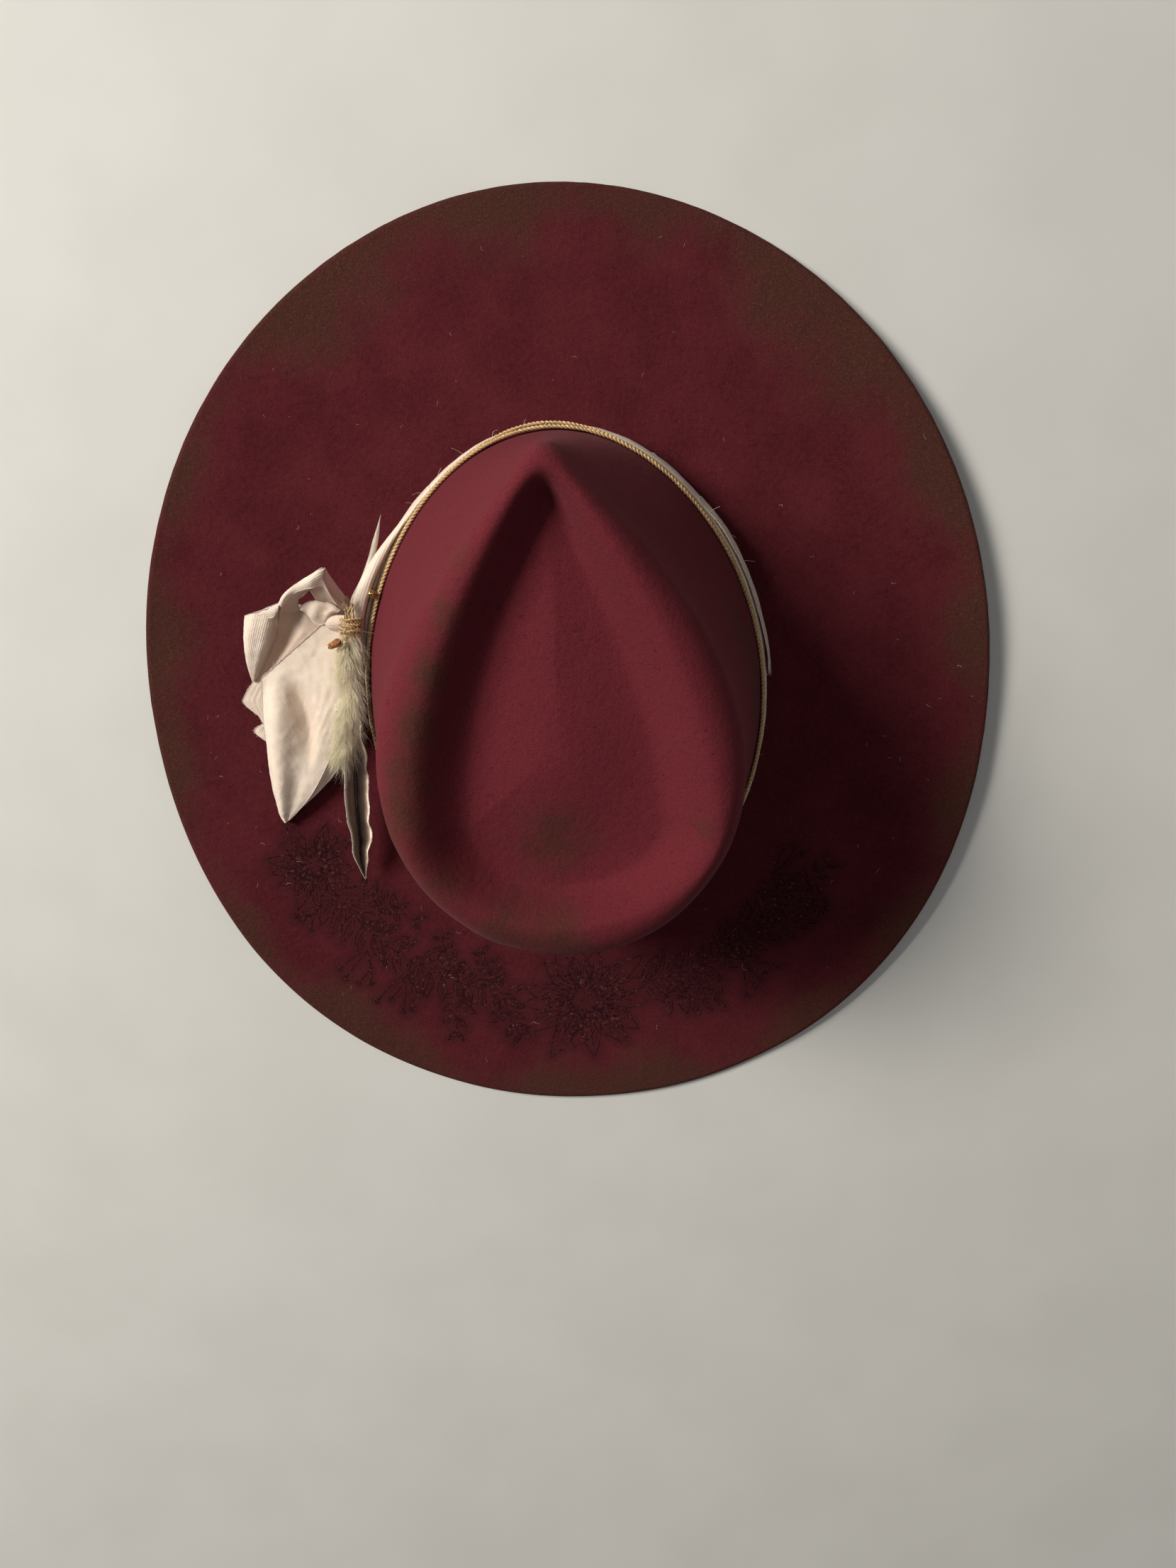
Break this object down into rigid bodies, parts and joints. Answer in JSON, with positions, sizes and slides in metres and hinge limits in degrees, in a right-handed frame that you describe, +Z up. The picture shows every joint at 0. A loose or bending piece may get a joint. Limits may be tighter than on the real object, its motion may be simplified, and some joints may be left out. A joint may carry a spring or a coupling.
{
  "type": "cowboy hat",
  "caption": "Wide-brim felt hat with a teardrop-creased crown, cloth hatband with a bow, twine, a grass plume and a feather.",
  "frame": {"origin": "centre of the brim's outline on the surface that the hat stands on, below the middle of the head opening", "axes": "+Z up through the crown, -Y to the front of the hat, +X to the wearer's left, the side with the bow"},
  "size_m": [0.3566, 0.394, 0.114],
  "materials": {
    "wool_felt": "matte burgundy wool felt with brown scorched patches",
    "sweat_leather": "smooth brown leather",
    "reed_cord": "waxed cotton cord",
    "thread": "waxed thread",
    "grosgrain": "ribbed ribbon",
    "satin": "glossy satin",
    "satin_piping": "satin piping",
    "torn_cotton": "plain-weave cotton, torn edges",
    "gold_twine": "twisted jute and metallic twine",
    "brass": "polished",
    "dried_grass": "soft dried grass head",
    "dried_stem": "dry stem",
    "dried_bud": "dry seed bud",
    "quill": "horn-like quill",
    "feather": "feather vane, brown with pale edges"
  },
  "bodies": {
    "hat": {"felt_brim": "wool_felt", "felt_side": "wool_felt", "felt_tip": "wool_felt", "sweatband": "sweat_leather", "sweatband_reed": "reed_cord", "sweatband_stitches": "thread", "sweatband_bow": "grosgrain", "lining_side": "satin", "lining_tip": "satin", "lining_piping": "satin_piping"},
    "trim": {"hatband": "torn_cotton", "hatband_overlap": "torn_cotton", "twine_upper": "gold_twine", "twine_lower": "gold_twine", "twine_bead": "brass", "twine_lashing": "gold_twine", "bow_knot": "torn_cotton", "bow_upper_loop": "torn_cotton", "bow_lower_loop": "torn_cotton", "bow_inner_fold": "torn_cotton", "bow_front_tail": "torn_cotton", "bow_rear_tails": "torn_cotton", "plume_head": "dried_grass", "plume_stem": "dried_stem", "dried_bud": "dried_bud", "feather_quill": "quill", "feather_vane": "feather"}
  },
  "joints": [
    {"name": "band_lift", "type": "slide", "parent": "hat", "child": "trim", "axis": [0, 0, 1], "range_m": [0, 0.12]}
  ]
}
